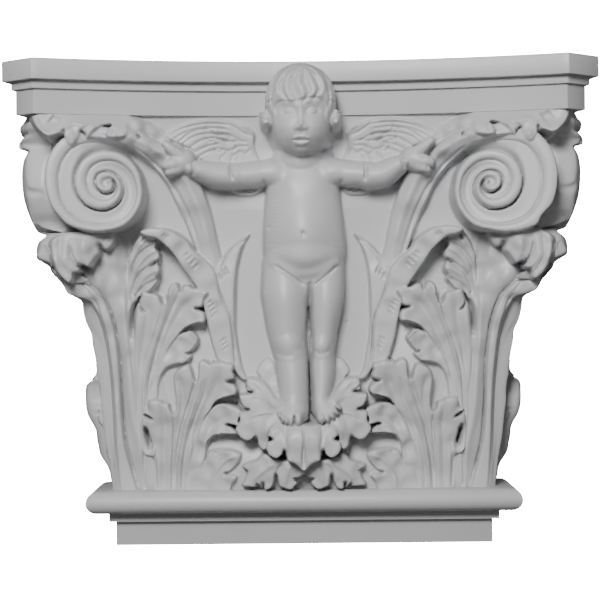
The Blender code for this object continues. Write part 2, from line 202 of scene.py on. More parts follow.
def closed_shell(rings):
    """Vertices, quads and triangles of a tube of rings; each end closes on its ring's middle."""
    rows, around = rings.shape[:2]
    vertices = np.concatenate((rings.reshape(-1, 3), rings[[0, -1]].mean(axis=1)))
    first = np.arange(around)
    second = np.roll(first, -1)
    last = (rows - 1) * around
    middle = np.full(around, rows * around)
    bottom = np.stack((middle, second, first), axis=-1)
    top = np.stack((first + last, second + last, middle + 1), axis=-1)
    return vertices, tube_quads(rows, around), np.concatenate((bottom, top))


def mesh_of(name, vertices, *faces):
    """A mesh from sheet millimetres (out, up, forwards) and arrays of quads and triangles."""
    sizes = np.concatenate([np.full(len(part), part.shape[1]) for part in faces])
    corners = np.concatenate([part.ravel() for part in faces])
    mesh = bpy.data.meshes.new(name)
    mesh.vertices.add(len(vertices))
    mesh.vertices.foreach_set("co", in_place(vertices).ravel())
    mesh.loops.add(len(corners))
    mesh.loops.foreach_set("vertex_index", corners)
    mesh.polygons.add(len(sizes))
    mesh.polygons.foreach_set("loop_start", np.cumsum(sizes) - sizes)
    mesh.update(calc_edges=True)
    return mesh


def in_place(sheet):
    """Sheet millimetres to metres: out along X, forwards from the wall along -Y, up along Z."""
    return np.stack((sheet[:, 0], WALL - sheet[:, 2], sheet[:, 1]), axis=-1) / 1000


def finished(name, mesh):
    """The piece as it is kept: one object at the origin that stands for the solid."""
    item = bpy.data.objects.new(name, mesh)
    bpy.context.scene.collection.objects.link(item)
    mesh.materials.clear()
    mesh.materials.append(PRIMER)
    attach(item, "root")
    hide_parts("pilaster_capital")
    return item


def square_edged(name, plans, heights):
    """A stepped solid: plan outlines one above the other, flat at both ends, edges blunted."""
    rows, around = len(plans), len(plans[0])
    grid = np.stack([np.column_stack((plan[:, 0], np.full(around, up), plan[:, 1]))
                     for plan, up in zip(plans, heights)])
    caps = [list(range(around))[::-1], list(range((rows - 1) * around, rows * around))]
    mesh = bpy.data.meshes.new(name)
    quads = tube_quads(rows, around).tolist()
    mesh.from_pydata(in_place(grid.reshape(-1, 3)).tolist(), [], quads + caps)
    sharp = bpy.data.objects.new(name, mesh)
    bpy.context.scene.collection.objects.link(sharp)
    bevel = sharp.modifiers.new("blunt edges", "BEVEL")
    bevel.width, bevel.segments, bevel.angle_limit = EDGE_BLUNT, 2, math.radians(30)
    seen_mesh = sharp.evaluated_get(bpy.context.evaluated_depsgraph_get())
    mesh = bpy.data.meshes.new_from_object(seen_mesh)
    bpy.data.objects.remove(sharp)
    mesh.shade_smooth()
    mesh.set_sharp_from_angle(angle=math.radians(35))
    return mesh


def abacus_plan(step):
    """Outline of one tier set back by a step: parabolas on the front and the sides, cut corners."""
    half, front, crease = WIDTH / 2 - step, DEPTH - step, WIDTH / 2 - CORNER_CUT
    end = front - (half - crease)
    x = np.linspace(-crease, crease, 73)
    d = np.linspace(end, 0, 19)
    side = half - SIDE_HOLLOW * (1 - (d / end) ** 2)
    return np.concatenate((
        np.column_stack((x, front - FRONT_HOLLOW * (1 - (x / crease) ** 2))),
        np.column_stack((side, d)),
        np.column_stack((-side, d))[::-1],
    ))


fillet_top = HEIGHT - SLAB_HEIGHT
fascia_top = fillet_top - ABACUS_FILLET_HEIGHT
tiers = (
    (FASCIA_STEP, fascia_top - FASCIA_HEIGHT), (FASCIA_STEP, fascia_top),
    (ABACUS_FILLET_STEP, fascia_top), (ABACUS_FILLET_STEP, fillet_top),
    (0, fillet_top), (0, HEIGHT),
)
abacus_tiers = [abacus_plan(step) for step, _ in tiers]
finished("abacus", square_edged("abacus", abacus_tiers, [up for _, up in tiers]))


# Foot mouldings: a flat band, a small fillet and a torus that the carving springs from, run in
# one piece with the casting along the front and both sides.
FOOT_WIDTH = 250.0
FOOT_DEPTH = 60.0
BAND_HEIGHT = 16.0
FOOT_FILLET_HEIGHT = 6.0
FOOT_FILLET_STEP = 4.3
TORUS_HEIGHT = 15.0
TORUS_STEP = 18.5


def foot_plan(step):
    """Rectangle of the foot, grown by a step on its front and its sides."""
    half, front = FOOT_WIDTH / 2 + step, FOOT_DEPTH + step
    return np.array([(-half, front), (half, front), (half, 0), (-half, 0)])


foot_fillet_top = BAND_HEIGHT + FOOT_FILLET_HEIGHT
levels = [
    (0, 0), (0, BAND_HEIGHT),
    (FOOT_FILLET_STEP, BAND_HEIGHT), (FOOT_FILLET_STEP, foot_fillet_top),
]
radius = TORUS_HEIGHT / 2
around = np.linspace(-math.pi / 2, math.pi / 2, 17)
levels += list(zip(TORUS_STEP - radius + radius * np.cos(around),
                   foot_fillet_top + radius * (1 + np.sin(around))))
foot_tiers = [foot_plan(step) for step, _ in levels]
finished("foot_mouldings", square_edged("foot_mouldings", foot_tiers, [up for _, up in levels]))


# Bell: the plain body behind the carving. It flares to the sides and comes forwards to meet the
# underside of the hollow abacus, most of all at the corners. The carving is drawn over it in
# relief: every place out (a) and up (z) has its depth (d) from the wall, all in millimetres.
TORUS_TOP = foot_fillet_top + TORUS_HEIGHT
CARVING_TOP = fascia_top - FASCIA_HEIGHT
SINK = 3.0
CELL = 0.54
PIXEL = 0.695
EYE = 1350.0


def points(text):
    """Points written as "86,280 100.5,294", with two or three numbers each."""
    return np.array([point.split(",") for point in text.split()], dtype=float)


def strokes(text):
    """Strokes written "amount width: points", parted by semicolons; a size holds till the next."""
    made = []
    for stroke in text.split(";"):
        size, _, line = stroke.rpartition(":")
        if size:
            amount, width = (float(number) for number in size.split())
        made.append((points(line), amount, width))
    return made


def drawing(text):
    """A shape's outline, its anchors and its strokes, parted by bars."""
    outline, anchors, *marks = text.split("|")
    return points(outline), points(anchors), strokes(marks[0]) if marks else []


def seen(drawn, depth):
    """Places drawn in half pixels of the 600 px view, carried back along it to a depth: (a, z)."""
    x, y = drawn[:, 0] / 2, drawn[:, 1] / 2
    axis = 299.8 + (y - 54) * 0.0107
    scale = PIXEL * (EYE - depth) / EYE
    return np.stack(((axis - x) * scale, 161.8 + (300 - y - (x - axis) * 0.008) * scale), axis=-1)


def corner_turn(z):
    """How far the side face's drawing is shifted: evenly more with the height."""
    return 64 + 20 * (z - TORUS_TOP) / (CARVING_TOP - TORUS_TOP)


def bell_front(a, z):
    """How far forwards the bell stands: it grows with the height, and faster at the corners."""
    up = np.clip((z - TORUS_TOP) / (CARVING_TOP - TORUS_TOP), 0, 1.02)
    half = 121 + 47 * up ** 3
    return 56 + 14 * up ** 5 + (40 * up ** 3 - 14 * up ** 5) * np.clip(a / half, -1, 1) ** 2


def bump(across):
    """The Gaussian curve: one at the middle, 1 / e at a distance of one."""
    return np.exp(-(across ** 2))


def bell_swell(a, z):
    """The bell is fuller behind the child and behind the leaves, so no gap there is deep."""
    child = 9 * bump(a / 40) * np.clip((z - 36) / 30, 0, 1) * np.clip((262 - z) / 40, 0, 1)
    foot = 14 * bump((a - 26) / 42) * bump((z - 52) / 26)
    leaves = 8 * bump((a - 72) / 24) * bump((z - 110) / 42)
    return np.maximum(child, np.maximum(foot, leaves))


def smooth_line(marks, fine=6, closed=False):
    """Catmull-Rom curve through the marks."""
    marks = np.asarray(marks, dtype=float)
    if len(marks) < 3:
        return marks
    before, after = 2 * marks[:1] - marks[1:2], 2 * marks[-1:] - marks[-2:-1]
    if closed:
        before, after = marks[-1:], marks[:2]
    p = np.concatenate((before, marks, after))
    t = np.linspace(0, 1, fine, endpoint=False)[None, :, None]
    a, b, c, d = (p[k:len(p) - 3 + k, None] for k in range(4))
    square, cube = 2 * a - 5 * b + 4 * c - d, 3 * b - a - 3 * c + d
    line = 0.5 * (2 * b + (c - a) * t + square * t ** 2 + cube * t ** 3)
    line = line.reshape(-1, marks.shape[1])
    return line if closed else np.concatenate((line, marks[-1:]))


class Relief:
    """A drawing in relief on a grid of places, changed by one layer or stroke after another."""

    def __init__(self, a, z, d):
        self.a, self.z, self.d = a, z, d
        self.mask = np.ones_like(d)

    def window(self, line, reach):
        """The rows and columns that the line comes near."""
        low, high = line.min(axis=0) - reach, line.max(axis=0) + reach
        rows = np.flatnonzero((self.z[:, 0] >= low[1]) & (self.z[:, 0] <= high[1]))
        if not len(rows):
            return None
        band = self.a[rows[0]:rows[-1] + 1]
        columns = np.flatnonzero(((band >= low[0]) & (band <= high[0])).any(axis=0))
        if not len(columns):
            return None
        return slice(rows[0], rows[-1] + 1), slice(columns[0], columns[-1] + 1)

    def distance(self, line, part):
        """Distance of each place from the line, and how far along the line its nearest point is."""
        a, z = self.a[part], self.z[part]
        best, along = np.full(a.shape, 1e9), np.zeros(a.shape)
        for step, (start, end) in enumerate(zip(line[:-1], line[1:])):
            run = end - start
            share = ((a - start[0]) * run[0] + (z - start[1]) * run[1]) / (run @ run + 1e-9)
            share = np.clip(share, 0, 1)
            gap = np.hypot(a - start[0] - share * run[0], z - start[1] - share * run[1])
            nearer = gap < best
            best = np.where(nearer, gap, best)
            along = np.where(nearer, (step + share) / (len(line) - 1), along)
        return best, along

    def stroke(self, line, amount, width, ends=0.15):
        """Raises or cuts along a line, with a Gaussian section that fades at both ends."""
        line = smooth_line(line)
        part = self.window(line, 2.6 * width)
        if part is None:
            return
        gap, along = self.distance(line, part)
        fade = 0.35 + 0.65 * np.clip(np.minimum(along, 1 - along) / ends, 0, 1) if ends else 1
        self.d[part] += amount * fade * bump(gap / width) * self.mask[part]

    def pit(self, at, up, amount, width):
        """A round dent or knob."""
        self.stroke(np.array([(at, up), (at, up - 0.1)]), amount, width, 0)

    def inside(self, outline, part):
        """Whether each place is inside a closed outline: edges crossed to the right are odd."""
        a, z = self.a[part], self.z[part]
        odd = np.zeros(a.shape, dtype=bool)
        for (a0, z0), (a1, z1) in zip(outline, np.roll(outline, -1, axis=0)):
            if z0 != z1:
                crossed = (z0 > z) != (z1 > z)
                odd ^= crossed & (a < a0 + (z - z0) * (a1 - a0) / (z1 - z0))
        return odd

    def layer(self, outline, anchors, edge=1.6, lip=1.3, over=False):
        """Lays a shape on top: its depth blends the anchors' by distance, its edge is rounded.

        The edge falls by the lip as a quarter ellipse. With over, anchors are heights above
        what is there. Strokes that follow act on this shape alone.
        """
        outline = smooth_line(outline, closed=True)
        part = self.window(outline, 1.0)
        self.mask = np.zeros_like(self.d)
        if part is None:
            return
        a, z = self.a[part], self.z[part]
        gap, _ = self.distance(np.concatenate((outline, outline[:1])), part)
        gap = np.where(self.inside(outline, part), gap, -gap)
        weights = [1 / ((a - at) ** 2 + (z - up) ** 2 + 6) ** 1.5 for at, up, _ in anchors]
        top = sum(w * d for w, (_, _, d) in zip(weights, anchors)) / sum(weights)
        if over:
            top = top + self.d[part]
        top = top - lip * (1 - np.sqrt(1 - (1 - np.clip(gap / edge, 0, 1)) ** 2))
        share = np.clip(gap / (1.2 * CELL) + 0.5, 0, 1)
        below = self.d[part]
        self.d[part] = below + np.clip(top - below, 0, None) * share
        self.mask[part] = share

    def shape(self, drawn, depth, share=1.0, **how):
        """A layer given as it is seen: outline and anchors in the frame.

        With a share below one it stands that much less in front of the depth 58.
        """
        outline, anchors = drawn[:2]
        heights = anchors[:, 2]
        if not how.get("over"):
            heights = 58 + (heights - 58) * share
        places = seen(anchors, depth if how.get("over") else heights)
        self.layer(seen(outline, depth), np.column_stack((places, heights)), **how)

    def strokes(self, drawn, depth, strength=1.0, fade=0.15):
        """Strokes given as they are seen."""
        for line, amount, width in drawn:
            self.stroke(seen(line, depth), amount * strength, width, fade)

    def draw(self, drawn, depth, share=1.0, strength=1.0, cut=None, **how):
        """A shape with its strokes, which may lie at a depth of their own."""
        self.shape(drawn, depth, share, **how)
        self.strokes(drawn[2], cut or depth, strength)


def swell(old, new, blend):
    """The greater of two depths, run together over the blend."""
    return np.maximum(old, new) + np.clip(blend - np.abs(old - new), 0, None) ** 2 / (4 * blend)


# Corner leaves: at each corner a tall leaf stands behind a low one, with a fan of narrow leaves
# above. Their lobes are scooped and roll forwards, with ridges between them and drilled eyes. A
# rounded strip runs up the corner.
BODY = drawing("""
    172,560 201,588 220,622 230,664 239,726 243,812 249,881 261,932 277,987 382,987 378,932
    361,863 340,794 327,726 323,657 316,605 308,571 268,553 256,519 254,495 244,471 206,464
    175,491 161,536
    | 278,974,64 361,967,64 258,881,67 244,760,70 239,691,73 265,726,69 265,657,71 223,615,77
    189,564,87 230,564,80 258,553,72 251,512,78 223,512,84 265,595,73 327,760,66 313,622,68
    | 1.6 3: 254,564 251,615 253,674 258,743 266,829 282,898 292,980; -1 1.2: 258,567 256,615
    259,670 264,712 272,767 280,822; -10 1.15: 285,583 274,602 266,622 264,643 265,672
""")
FAN = drawing("""
    256,602 254,564 255,533 257,505 266,484 277,469 284,464 292,469 303,467 311,476 314,484
    311,495 318,505 320,519 316,528 320,536 319,548 313,553 315,564 306,574 299,583 291,585
    282,588 268,605
    | 258,598,71 260,553,74 266,512,80 285,478,85 308,478,87 318,519,85 319,543,84 299,581,80
    275,588,74 282,536,80
    | -6 0.8: 257,507 265,487 277,470; 1.4 1.1: 258,595 258,553 263,522 277,495 292,479 309,475;
    -2.2 0.8: 260,598 260,560 267,528 285,502 310,486; 1.4 1.3: 261,598 263,564 272,536 292,512
    313,500; -2.6 0.9: 262,602 266,574 278,548 300,531 320,518; 1.2 1.4: 265,602 272,577 285,557
    306,543 320,540; -2.2 0.8: 266,605 275,585 289,571 313,559; 1 1: 268,604 282,588 299,576
    308,571; -4 0.9: 301,531 316,522; -2.5 0.6: 289,474 282,486
""")
SCOOP_HIGH = drawing("""
    357,670 368,664 382,661 392,670 398,679 392,691 385,699 377,706 384,710 380,717 368,726
    351,728 334,735 323,749 316,770 313,798 292,801 294,770 308,732 327,698
    | 394,679,82 384,714,81 368,667,78 361,688,74 340,705,71 327,746,72 313,791,70 303,760,69
    361,726,79
    | -5 0.7: 371,706 381,709; 1 0.6: 377,664 387,670 395,680
""")
TALL = drawing("""
    282,987 281,915 277,863 271,794 267,726 266,688 268,670 270,643 272,622 277,605 286,585
    299,586 313,588 319,593 323,606 328,610 332,605 334,593 337,577 344,568 354,566 360,577
    365,571 377,570 387,576 399,577 416,583 415,590 409,598 405,613 394,616 405,622 410,629
    410,644 396,646 382,650 368,658 358,669 340,691 323,722 309,753 299,788 294,822 292,987
    | 282,967,65 272,794,69 269,712,72 275,615,79 289,588,82 313,591,83 306,691,74 292,794,71
    346,571,86 327,657,78 358,622,81 385,581,87 415,584,89 406,612,88 409,639,88 382,652,84
    361,665,80 313,753,73
    | -2.4 1: 328,607 323,629 313,660 301,695 292,732 287,770 285,822 286,898 287,980; 1.8 1.5:
    345,571 338,595 328,622 316,657 304,693 295,732 289,774 287,815; -1.6 1.2: 361,581 351,602
    339,629 327,657 315,691 304,729 296,770 291,812; -1.6 2.6: 299,598 294,643 285,698 279,760;
    -2.2 3: 392,595 370,612 349,643 331,681 316,722 303,763; -7 1.1: 328,595 327,607; -5 0.7:
    365,571 361,584; -6 0.9: 390,617 407,619; -5 0.7: 276,603 279,614 288,625; 1.4 1: 409,642
    396,644 382,648 368,657 359,665
""")
SCOOP_LOW = drawing("""
    410,922 416,906 430,900 451,899 468,901 483,909 474,929 459,944 451,948 464,949 475,953
    466,967 452,987 382,987 385,949 396,932
    | 468,905,82 482,910,83 430,913,74 413,939,70 468,951,80 451,932,76 451,974,74 396,977,68
    | -3 0.7: 431,904 432,906; -5 0.9: 450,948 464,946; 0.8 1: 478,910 451,922 430,946 423,974
""")
SCOOP_MIDDLE = drawing("""
    423,818 433,809 447,807 464,810 483,820 478,839 475,851 456,849 466,856 476,868 458,868
    440,869 427,872 416,883 412,898 409,922 397,949 390,987 368,987 375,932 385,891 402,850
    | 464,815,86 480,825,87 470,860,86 440,825,79 420,846,75 440,865,82 416,881,78 396,898,71
    382,960,68
    | -6 0.9: 452,850 468,852; 1.4 0.9: 475,866 458,866 440,867 427,870 417,881; -1 2.4: 464,832
    437,843 413,874 401,915
""")
LOW = drawing("""
    308,987 308,939 303,916 289,912 282,898 281,863 284,824 289,820 295,820 296,805 306,799
    320,801 327,806 337,808 340,819 346,827 350,824 352,812 350,788 347,767 348,751 354,741
    366,732 378,730 384,741 389,757 393,761 396,753 397,739 398,726 406,720 417,724 421,727
    425,722 432,725 438,721 449,724 467,729 466,743 469,756 458,763 469,769 475,780 471,790
    461,792 447,796 435,801 427,810 422,819 406,843 392,874 384,908 379,949 378,987
    | 313,974,66 344,974,67 375,974,67 285,891,70 289,825,78 313,808,83 327,863,75 340,815,82
    349,770,83 368,736,88 382,746,88 401,726,89 447,727,92 466,736,94 471,781,92 447,794,88
    427,808,84 402,794,82 378,822,79 361,881,74 396,863,75 309,898,71
    | 1.3 0.9: 281,860 282,894 289,910 298,914 305,910 308,896; -11 1.3: 289,858 293,875 299,897;
    -7 0.8: 287,830 303,840; -7 1.1: 346,808 346,824; -7 1.2: 391,746 392,758; -2.5 0.7: 344,749
    346,757; -3.5 0.6: 419,720 421,728; -2.5 0.5: 436,721 438,726; -6 0.9: 453,763 469,764; -2
    0.9: 346,827 348,856 346,898 344,932 343,984; -2.4 1: 392,760 384,788 373,822 363,856 355,898
    350,939 348,984; 1.3 1.1: 401,760 396,788 382,825 371,863 363,901 358,943 356,984; -1.2 1:
    413,760 408,789 392,829 379,867 370,905 365,943 363,984; -1.8 0.9: 309,915 309,946 310,984;
    285,910 286,943 288,984; -1.3 2: 325,815 328,856 327,905 326,984; -1.3 1.8: 361,760 365,794
    361,829 353,870; -2.4 3.2: 440,746 430,781 413,812 396,850 387,884; 1.5 1: 464,790 447,793
    435,799 427,808
""")
STRIP = drawing("""
    172,559 201,585 220,620 231,663 240,725 243,811 250,880 262,932 277,987 223,987 213,932
    208,881 203,812 198,743 192,691 184,643 165,605 141,588 113,584 113,571 130,569 151,560
    | 268,980,67 237,980,66 234,812,71 213,812,68 227,691,75 206,691,71 213,622,80 179,615,76
    179,581,86 141,577,90 120,581,88
    | -1.5 0.9: 165,564 189,599 204,637 212,675 217,743 224,812 229,881 234,949 239,984
""")
STRIP_LINE = strokes("""
    -3.2 0.75: 172,561 202,588 221,622 232,664 240,726 244,812 250,881 262,933 278,986
""")
LEAF_SHARE = 0.66


def corner_leaves(relief):
    """From the back to the front: the body of the corner, the fan, the tall leaf, the low one."""
    for drawn, depth, edge, lip in (
            (BODY, 66, 10, 7), (FAN, 74, 1.6, 1.4), (SCOOP_HIGH, 72, 2, 1.6), (TALL, 73, 2.4, 2),
            (SCOOP_LOW, 71, 2, 1.6), (SCOOP_MIDDLE, 73, 2, 1.6), (LOW, 75, 2.6, 2.2)):
        relief.draw(drawn, depth, LEAF_SHARE, 1.3, edge=edge, lip=lip)
    relief.draw(STRIP, 67, LEAF_SHARE, edge=3.4, lip=3.0)
    relief.mask[:] = 1
    relief.strokes(STRIP_LINE, 66, 1.4, 0.05)


# Volutes: a scroll on each face of the corner, its band rolled in two and a half turns with a
# raised outer rim, under a curling leaf. A stem with a long ridge rises into it from the sheath,
# and a leaf hangs below it over the top of the strip.
LEFT_SCROLL = (125.2, 237.9)
RIGHT_SCROLL = (121.6, 236.4)
VOLUTE = points("""
    -1.4,29 -1,31 -0.5,41 -0.25,41 0,39.5 0.25,38.5 0.5,37 0.75,33.5 1,31 1.25,30 1.5,27.5 2,22.8
    2.5,21.8 3,21.5 3.5,21.5 4,20.5 4.5,19.2 5,16.7 5.5,12.8 6,9.3 6.5,7.8 7,7.7 7.5,8 8,7 8.5,6.3
    9,6.2 9.5,5.8 10,4.5 10.6,2.5 11,0.2 16,0.1
""")
TIP_LOBES = ((89, 503, 13, 25, -0.1, 91), (128, 518, 14, 38, -0.22, 95))
TIP = drawing("""
    110,465 97,470 80,488 61,506 54,532 61,557 84,555 102,534 108,541 119,553 135,566 144,562
    146,547 153,545 160,539 154,532 163,529 176,534 184,524 189,516 197,506 195,491 200,496
    212,498 222,488 227,470 217,460 163,460
    | 102,470,92 77,519,90 97,527,93 110,481,96 115,519,99 138,562,97 158,539,96 143,486,95
    168,493,99 176,529,97 194,504,94 212,493,89 222,473,87
    | -6 1: 96,491 98,507; -2.4 0.9: 121,470 119,493 122,524 133,544 143,557; 1.2 1.2: 110,468
    107,501 112,529 125,552; 1.4 1.4: 133,476 131,501 136,527 151,542; -5 0.9: 140,493 142,510
    151,525 161,532; -6 1.1: 195,486 203,497; -4 0.8: 188,516 194,519; 1.6 2.4: 168,478 166,501
    171,521; -3 0.8: 101,529 105,539
""")
SCROLL = drawing("""
    31,215 272,215 294,224 314,242 330,266 340,284 327,297 301,285 286,277 273,277 271,267 258,267
    249,273 236,276 221,276 212,272 216,257 220,247 204,250 193,257 182,269 173,277 163,261
    158,273 153,284 146,291 139,289 133,282 128,273 120,269 102,277 84,279 71,273 56,284 38,284
    23,264 23,238
    | 51,231,95 51,264,100 77,238,103 84,274,109 122,266,108 143,287,109 163,246,106 179,269,106
    196,251,107 217,248,104 222,271,107 245,271,105 230,241,101 270,251,93 273,274,95 300,260,84
    336,280,82 153,226,98 272,220,76 294,228,74 314,244,74 330,266,76
    | -4.5 4.5: 100,234 116,246; -4 0.8: 60,243 67,260 77,273; -6 0.9: 128,259 125,271; -8 1.1:
    167,265 168,276; -7 1: 273,267 275,274; -1.6 1: 163,261 173,255 189,246 209,242; 1.4 1.6:
    128,260 138,251 158,241 179,234 209,231; -1.6 0.9: 220,248 227,259 224,271; 1.5 1.6: 230,246
    245,251 258,261; 1.3 1.6: 258,264 270,255 288,255 319,269; 1.8 1.8: 66,231 77,251 97,269
    122,264; -2.5 0.8: 45,248 55,264 64,274; 1.2 1.2: 143,264 147,282; -1.2 1: 286,264 306,274
    332,284
""")
STEM = drawing("""
    449,546 442,517 435,490 419,419 402,370 392,349 374,325 345,308 304,276 264,263 215,257
    182,259 182,278 207,282 235,288 264,300 288,317 309,337 329,361 349,402 368,443 386,490
    401,529 412,552
    | 419,512,69.5 411,451,71.5 378,451,71.5 398,386,76 362,386,77 362,333,80 321,333,82
    321,292,90 280,292,94 247,272,99 198,268,102
    | 3.2 3.4: 426,524 407,450 390,400 366,354 332,316 294,288 244,271; -2.6 1.3: 407,524 380,443
    360,398 335,357 311,329 282,306 242,288; -3.5 0.8: 439,500 423,422 405,372
""")


ROLL_SHARES = ((-1, 0, 1, 2, 3, 4, 5, 12), (0.5, 0.47, 0.33, 0.36, 0.5, 0.6, 0.62, 0.7))


def volute(relief, centre):
    """A scroll between one turn of a spiral and the next, its radii read off quarter by quarter.

    The share of the way across the band gives the section: a round roll over the outer part, a
    fine groove, a band that grows hollow at the right, and a crevice along the next turn.
    """
    a, z = relief.a - centre[0], relief.z - centre[1]
    radius = np.hypot(a, z)
    wider = (LEFT_SCROLL[0] - centre[0]) * np.clip(a / 30, 0, 1)
    angle = (np.arctan2(-z, a) / (math.pi / 2) + 1.4) % 4 - 1.4
    for turn in range(3):
        quarter = angle + 4 * turn
        outer = np.interp(quarter, VOLUTE[:, 0], VOLUTE[:, 1]) + (wider if turn == 0 else 0)
        inner = np.interp(quarter + 4, VOLUTE[:, 0], VOLUTE[:, 1])
        across = outer - inner
        share = (outer - radius) / across
        split = np.interp(quarter, *ROLL_SHARES)
        roll = 2.6 * np.sqrt(np.clip(1 - ((share - split / 2) / (split / 2)) ** 2, 0, 1))
        groove = 1.4 * bump((share - split) * across / 0.7) * np.clip((6 - quarter) / 2, 0, 1)
        hollow = 0.3 + 4.2 * bump((quarter - 2.1) / 0.8) + 1.6 * bump((quarter - 6.2) / 0.8)
        hollow = hollow * np.sin(math.pi * np.clip((share - split) / (1 - split), 0, 1))
        crevice_width = 0.85 + 2.0 * bump((quarter + 0.9) / 0.5)
        crevice = 8.0 * bump((1 - share) * across / crevice_width) * (quarter < 6.3)
        top = 100 + 0.16 * a + 0.45 * quarter + roll - groove - hollow - crevice
        top = top - 1.6 * (1 - np.clip((outer - radius) / 1.6, 0, 1)) ** 2
        cover = np.clip((outer - radius) / (1.2 * CELL) + 0.5, 0, 1)
        if turn == 0:
            cover = cover * np.clip((quarter + 1.4) / 0.8, 0, 1)
            relief.d = relief.d + np.clip(top - relief.d, 0, None) * cover
        else:
            relief.d = np.where(cover > 0, relief.d + (top - relief.d) * cover, relief.d)


def corner_scrolls(relief, centre):
    """From the back to the front: the stem, the volute, the leaf below and the leaf above."""
    relief.draw(STEM, 80, edge=6.5, lip=5.0)
    volute(relief, centre)
    relief.draw(TIP, 96, strength=0.8, edge=4.2, lip=3.6)
    for x, y, wide, high, lean, depth in TIP_LOBES:
        round_it = np.linspace(0, 2 * math.pi, 14, endpoint=False)
        out, down = wide * np.cos(round_it), high * np.sin(round_it)
        oval = np.stack((x + out * math.cos(lean) - down * math.sin(lean),
                         y + out * math.sin(lean) + down * math.cos(lean)), axis=-1)
        relief.shape((oval, np.array([(x, y, depth)])), 96, edge=wide / 4, lip=3.5)
    relief.draw(SCROLL, 102, strength=1.3, edge=2.6, lip=2.4)


# Sheaths and long blades: a ribbed band wraps the foot of each stem, and a narrow blade stands
# beside the child.
SHEATH = drawing("""
    282,464 299,457 313,456 340,459 361,470 377,483 389,501 409,518 429,541 435,564 440,588
    452,615 460,636 464,664 466,691 469,726 464,736 447,736 432,715 430,708 422,684 416,657
    412,636 402,595 392,574 377,552 361,530 346,507 328,489 313,478 292,474
    | 289,467,89 313,466,89 340,476,85 371,502,81 409,550,76 430,588,74 440,622,72 454,674,71
    454,726,70
    | -1.5 0.6: 327,475 332,471; 332,478 338,473; 371,512 378,507; 376,521 385,512; 382,530
    392,519; 388,538 396,529; 415,607 423,602; 418,615 428,607; 422,624 432,615; 425,633 433,624;
    443,683 451,676; 446,691 454,684; 448,700 456,692; -1.5 0.8: 377,483 389,501 409,518
""")
BLADE = drawing("""
    500,469 486,492 477,519 472,553 470,605 471,657 479,708 486,738 495,758 482,757 466,732
    464,691 463,664 459,636 451,615 440,588 434,564 432,540 440,523 452,506 469,489 490,474
    | 497,474,67.5 464,512,69.5 447,553,71 454,605,71 466,657,70 475,719,68.5 490,753,67
    | -1.4 0.7: 496,477 475,491 459,507 449,524 444,540; -1.6 0.6: 439,548 444,559; 446,540
    451,553; 451,534 457,548; -2.4 0.7: 435,565 441,588 452,616 461,637 465,664 467,691 471,724
""")


def sheaths(relief):
    """The blade first, then the band that crosses its edge."""
    relief.draw(BLADE, 63, strength=1.6, edge=2.0, lip=1.6)
    relief.draw(SHEATH, 72, edge=2.8, lip=2.2)


# Wings: low relief on the bell, long feathers above and rows of short ones by the shoulder, with
# a few tips that show under the arm.
WING = drawing("""
    330,274 349,260 374,248 402,241 431,239 460,242 484,248 502,259 509,270 507,288 513,308
    519,323 492,327 460,331 435,329 415,323 394,314 382,299 366,291 345,283
    | 333,274,4.5 374,268,4 427,251,4 456,263,3.4 500,268,4 443,308,2.6 509,312,2.2
    | -1.5 0.7: 333,276 362,260 394,251 427,248 456,251; -0.8 0.5: 347,281 368,268 390,260
    417,257; -1.5 0.7: 358,285 382,267 411,258 443,258 456,261; 365,290 386,275 415,268 437,268
    456,270 462,281; 378,298 398,284 419,277 437,278 460,284; 387,306 411,294 432,288 438,290;
    396,314 417,303 437,297; -1.3 0.7: 415,246 416,258 427,268 451,268 462,274; 437,268 439,278
    460,283 481,282; 429,283 434,294 452,301 467,298 472,290; -1.2 0.6: 467,298 478,292 494,293;
    -1.3 0.7: 460,248 472,257 486,266 502,272; -1.2 0.6: 456,268 479,281 493,284; 456,301 444,313
    438,323; 467,308 460,325; 481,303 472,321; 1.6 1.1: 484,249 502,260 507,272 506,294 513,312;
    -1.3 0.7: 409,276 418,284 428,281; 424,294 434,303 446,299; 444,280 456,288 468,283; 456,303
    467,310 479,302; 478,300 490,307 501,298
""")
WINGTIPS = drawing("""
    464,380 476,390 492,392 509,390 522,379 528,369 509,366 484,370
    | 472,382,3.6 504,386,3.6 525,370,2.5
    | -1.2 0.6: 483,376 492,384 504,388; 500,376 509,385
""")


def wings(relief):
    """Each wing is one raised shape; its feathers are cut by fine lines."""
    relief.draw(WING, 70, strength=1.4, edge=2.0, lip=1.8, over=True)
    relief.draw(WINGTIPS, 64, edge=1.2, lip=1.0, over=True)


# Foot leaves: a small bunch of leaves, modelled in the casting like the rest, that hangs under
# the child's feet and carries them.
FOOT_FLANK_TOP = drawing("""
    513,743 522,726 534,716 545,722 555,760 565,798 553,798 533,769 521,755
    | 519,743,66 536,722,66 553,760,72 560,794,80
""")
FOOT_FLANK = drawing("""
    561,800 549,790 532,766 518,759 496,757 491,770 493,782 505,786 480,790 479,801 486,815
    498,821 480,825 479,843 471,860 481,876 495,883 513,877 518,894 529,902 535,894 540,874
    554,853 567,846 567,815
    | 560,815,86 519,767,77 498,763,77 483,798,79 491,815,79 474,860,82 512,843,85 495,877,83
    528,898,83 538,856,88
    | -2 0.8: 495,843 515,833 544,829; -5 1: 512,872 509,885; -2.5 0.8: 491,771 498,780 509,784;
    -3 0.8: 484,817 499,820; 1 1.6: 553,812 526,794 502,789; 1 1.8: 512,765 533,788 553,815; -2
    0.8: 540,881 538,867 550,851
""")
FOOT_FLANK_LINE = strokes("""
    -3 0.7: 521,750 533,767 550,791 561,801
""")
